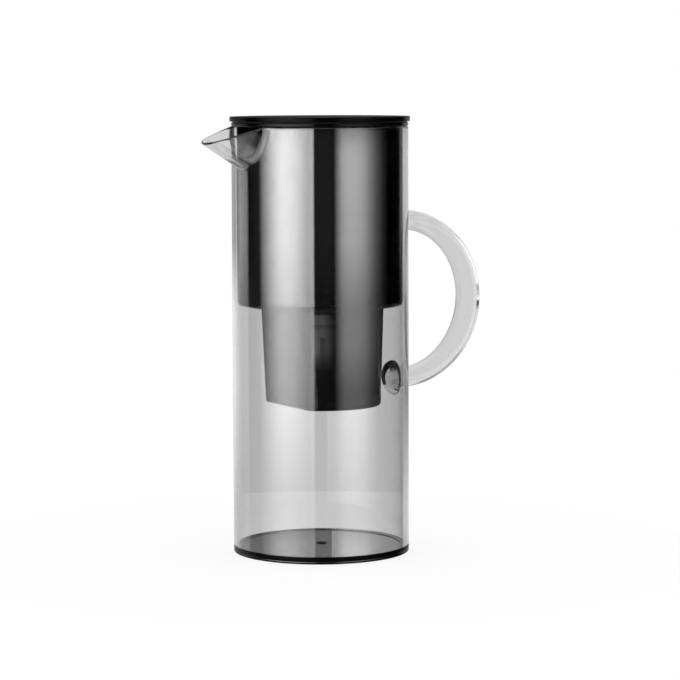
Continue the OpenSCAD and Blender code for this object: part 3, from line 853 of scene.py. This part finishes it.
def hidden_inside(tree, azimuth, height, rays):
    """Share of the softboxes that a reflection off a piece inside the jug doesn't show. Such light goes
    through the wall's two faces twice. It shows none from low down, which on the right starts higher up, and
    little from the far left."""
    low_start, low_full = math.radians(-12), math.radians(-17)
    right_edge, right_start, right_full = math.radians(15), math.radians(-4), math.radians(-4.75)
    left_start, left_full, left_share = math.radians(-92), math.radians(-104), 0.85
    inside = add(tree, "Math", {0: rays["Transmission Depth"], 1: 3.5}, operation="GREATER_THAN")
    low_all = add(tree, "MapRange", {"Value": height, "From Min": low_start, "From Max": low_full})
    low_right = add(tree, "MapRange", {"Value": height, "From Min": right_start, "From Max": right_full})
    on_right = add(tree, "Math", {0: azimuth, 1: right_edge}, operation="GREATER_THAN")
    right = add(tree, "Math", {0: low_right.outputs[0], 1: on_right.outputs[0]}, operation="MULTIPLY")
    low = add(tree, "Math", {0: low_all.outputs[0], 1: right.outputs[0]}, operation="MAXIMUM")
    far_left = add(tree, "MapRange", {
        "Value": azimuth, "From Min": left_start, "From Max": left_full, "To Max": left_share})
    unlit = add(tree, "Math", {0: low.outputs[0], 1: far_left.outputs[0]}, operation="MAXIMUM")
    return add(tree, "Math", {0: inside.outputs[0], 1: unlit.outputs[0]}, operation="MULTIPLY").outputs[0]


def bent_backdrop(tree, part):
    """Backdrop as clear plastic shows it: grey levels by how far light is bent off the level way to the back,
    which is the length of its sideways and its rising part, with the sign of its side."""
    still_level = 0.05
    upward = add(tree, "Math", {0: part["Z"], 1: still_level}, operation="ADD")
    risen = add(tree, "Math", {0: upward.outputs[0], 1: 0.0}, operation="MAXIMUM")
    bent = add(tree, "CombineXYZ", {"X": part["X"], "Y": risen.outputs[0]})
    far = add(tree, "VectorMath", {0: bent.outputs[0]}, operation="LENGTH")
    side = add(tree, "Math", {0: part["X"]}, operation="SIGN")
    off = add(tree, "Math", {0: far.outputs["Value"], 1: side.outputs[0]}, operation="MULTIPLY")
    sideways = add(tree, "MapRange", {
        "Value": off.outputs[0], "From Min": -backdrop_span, "From Max": backdrop_span})
    backdrop = add(tree, "ValToRGB", {"Fac": sideways.outputs[0]})
    fill_ramp(backdrop, [
        ((bend + backdrop_span) / (2 * backdrop_span), level) for bend, level in backdrop_levels])
    return backdrop.outputs[0]


def studio_world():
    """White cyclorama that the eye sees and that lights the object evenly. Clear plastic shows the backdrop's
    levels in its place, and a first mirror reflection shows the softboxes, less what is hidden inside."""
    world = bpy.data.worlds.new("studio")
    bpy.context.scene.world = world
    world.use_nodes = True
    tree = world.node_tree
    tree.nodes.clear()
    way = add(tree, "TexCoord").outputs["Generated"]
    turned_way = add(tree, "VectorRotate", {"Vector": way, "Angle": view_turn}, rotation_type="Z_AXIS")
    part = add(tree, "SeparateXYZ", {"Vector": turned_way.outputs[0]}).outputs
    ahead = add(tree, "Math", {0: part["Y"], 1: -1.0}, operation="MULTIPLY")
    azimuth = add(tree, "Math", {0: part["X"], 1: ahead.outputs[0]}, operation="ARCTAN2").outputs[0]
    height = add(tree, "Math", {0: part["Z"]}, operation="ARCSINE").outputs[0]
    rays = add(tree, "LightPath").outputs
    boxes = add(tree, "MixRGB", {
        "Fac": hidden_inside(tree, azimuth, height, rays), "Color1": softboxes(tree, azimuth, height),
        "Color2": (0, 0, 0, 1)})
    bounced = add(tree, "Math", {0: rays["Glossy Depth"], 1: rays["Diffuse Depth"]}, operation="ADD")
    behind = add(tree, "Math", {0: bounced.outputs[0], 1: rays["Is Transmission Ray"]}, operation="MULTIPLY")
    reflected = add(tree, "Math", {0: behind.outputs[0], 1: rays["Glossy Depth"]}, operation="MAXIMUM")
    first = add(tree, "Math", {0: rays["Glossy Depth"], 1: 1.5}, operation="LESS_THAN")
    mirrored = add(tree, "Math", {0: reflected.outputs[0], 1: first.outputs[0]}, operation="MULTIPLY")
    white = add(tree, "Background", {"Color": (1, 1, 1, 1), "Strength": 1.0})
    through = add(tree, "Background", {"Color": bent_backdrop(tree, part), "Strength": 1.0})
    studio = add(tree, "Background", {"Color": boxes.outputs[0], "Strength": box_peak})
    plain = add(tree, "MixShader", {
        0: rays["Is Transmission Ray"], 1: white.outputs[0], 2: through.outputs[0]})
    whole = add(tree, "MixShader", {0: mirrored.outputs[0], 1: plain.outputs[0], 2: studio.outputs[0]})
    add(tree, "OutputWorld", {"Surface": whole.outputs[0]})


def table_top():
    """White table: a disc of rings that glows plain white to the eye and through clear plastic, with a little
    real shading mixed in, so that the jug's contact shadow stays. In mirror reflections the studio's own
    lower half stands for it."""
    table_r, table_z, glow_share = 265 * MM, -0.5 * MM, 0.85
    made, tree, _ = new_material("white table")
    matt = add(tree, "BsdfDiffuse", {"Color": (1, 1, 1, 1)})
    glow = add(tree, "Emission", {"Color": (1, 1, 1, 1), "Strength": 1.0})
    clear = add(tree, "BsdfTransparent")
    rays = add(tree, "LightPath").outputs
    seen = add(tree, "Math", {0: rays["Is Camera Ray"], 1: rays["Is Transmission Ray"]}, operation="MAXIMUM")
    share = add(tree, "Math", {0: seen.outputs[0], 1: glow_share}, operation="MULTIPLY")
    mirrored = add(tree, "Math", {0: rays["Glossy Depth"], 1: 0.5}, operation="GREATER_THAN")
    lit = add(tree, "MixShader", {0: share.outputs[0], 1: matt.outputs[0], 2: glow.outputs[0]})
    skin = add(tree, "MixShader", {0: mirrored.outputs[0], 1: lit.outputs[0], 2: clear.outputs[0]})
    add(tree, "OutputMaterial", {"Surface": skin.outputs[0]})
    rings = turned(np.array([[table_r * out, table_z] for out in (0.1, 0.4, 0.7, 1.0)]), 96)
    points, quads, fans = loft(rings, start=(0, 0, table_z))
    mesh = bpy.data.meshes.new("table_top")
    mesh.from_pydata(points.tolist(), [], quads.tolist() + fans.tolist())
    mesh.materials.append(made)
    table = bpy.data.objects.new("table_top", mesh)
    bpy.context.scene.collection.objects.link(table)


studio_world()
table_top()
bpy.context.scene.view_settings.view_transform = "Standard"
